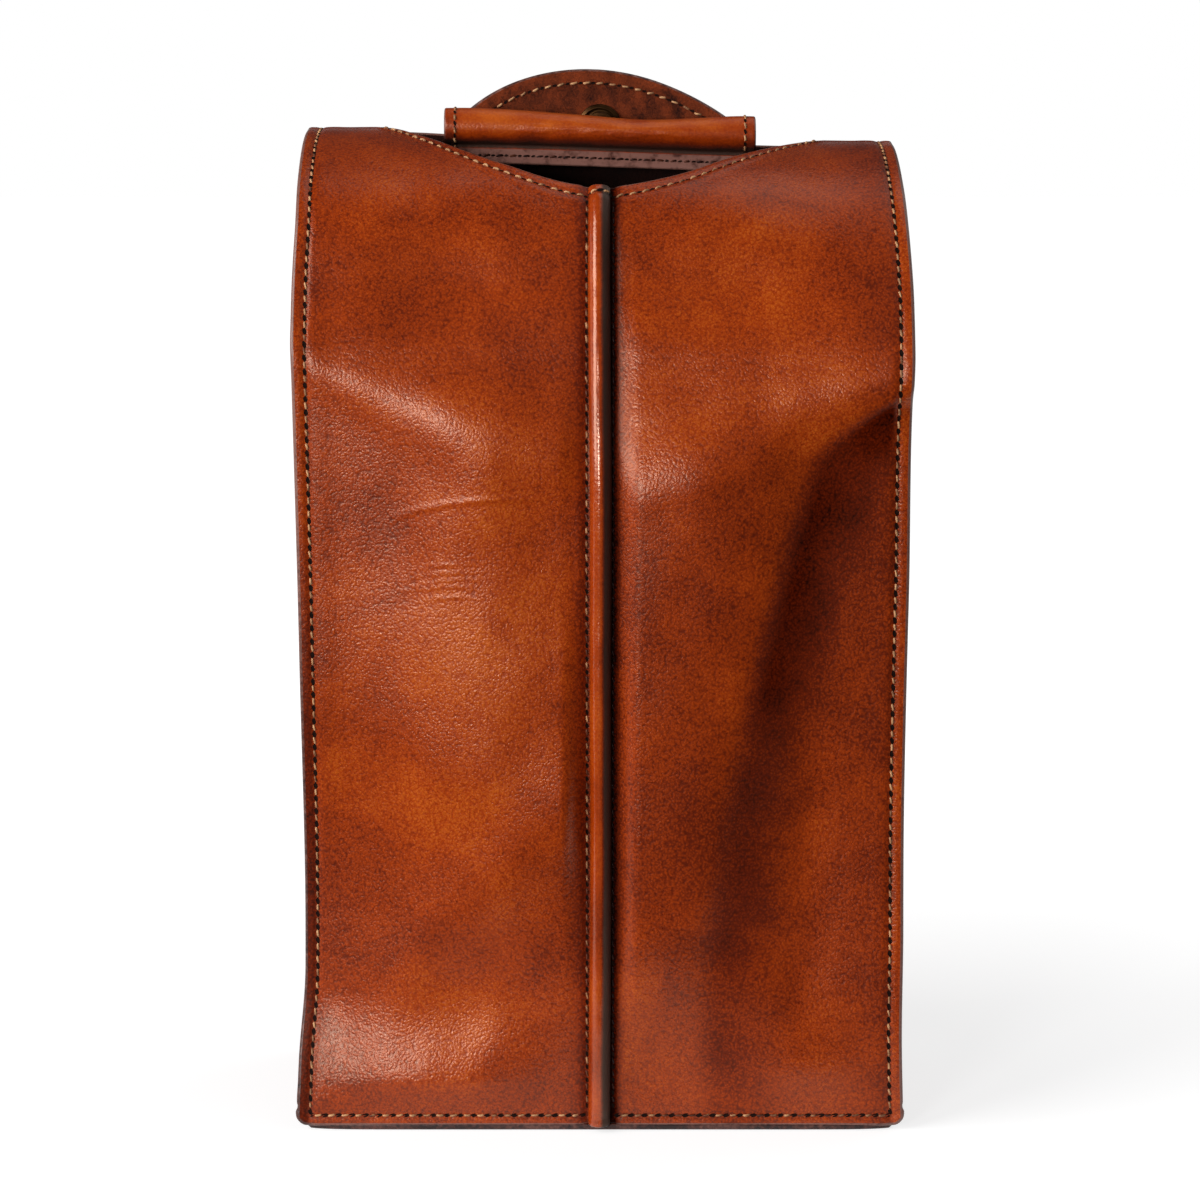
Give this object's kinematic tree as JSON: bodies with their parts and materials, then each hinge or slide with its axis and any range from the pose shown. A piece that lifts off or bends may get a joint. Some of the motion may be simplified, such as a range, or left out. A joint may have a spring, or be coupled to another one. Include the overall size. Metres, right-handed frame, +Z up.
{
  "type": "wine bottle carrier",
  "caption": "Upright stained leather carrier for wine bottles side by side, with a curved roof, welted centre seam, open mouth, rolled grip and half-moon snap tab.",
  "frame": {"origin": "On the surface it stands on, under the middle of the whole object's box", "axes": "+X to the right seen from the front, +Y from the welted front to the back, +Z up"},
  "size_m": [0.204, 0.1049, 0.3515],
  "materials": {
    "stained_leather": "hand stained and waxed, with darker edges",
    "dark_leather": "dark stained, waxed",
    "flesh_side_leather": "rough flesh side, matt",
    "aged_brass": "antique, darkened",
    "cotton_cord": "twisted cord",
    "fibre_board": "pressed fibre board",
    "beech_rod": "plain turned rod"
  },
  "bodies": {
    "bag": {"front_panel_left": "stained_leather", "front_panel_right": "stained_leather", "gusset_left": "stained_leather", "gusset_right": "stained_leather", "centre_welt": "stained_leather", "back_panel": "stained_leather", "tab_root": "stained_leather", "neck_facing_left": "dark_leather", "neck_facing_right": "dark_leather", "handle_anchor_left": "dark_leather", "handle_anchor_right": "dark_leather", "base_panel": "dark_leather", "back_facing": "flesh_side_leather", "divider": "flesh_side_leather", "rivet_left_low": "aged_brass", "rivet_left_high": "aged_brass", "rivet_right_low": "aged_brass", "rivet_right_high": "aged_brass", "welt_cord": "cotton_cord", "base_board": "fibre_board"},
    "handle": {"grip_sleeve": "stained_leather", "grip_core": "beech_rod", "handle_leg_left": "dark_leather", "handle_leg_right": "dark_leather", "snap_socket": "aged_brass"},
    "tab": {"tab_outer": "stained_leather", "tab_lining": "flesh_side_leather", "snap_stud": "aged_brass", "snap_cap": "aged_brass"}
  },
  "joints": [
    {"name": "handle_fold", "type": "hinge", "parent": "bag", "child": "handle", "pos_m": [0, 0.0423, 0.2859], "axis": [1, 0, 0], "range_deg": [-4, 7]},
    {"name": "tab_fold", "type": "hinge", "parent": "bag", "child": "tab", "pos_m": [0, 0.0508, 0.32595], "axis": [-1, 0, 0], "range_deg": [0, 90]}
  ]
}
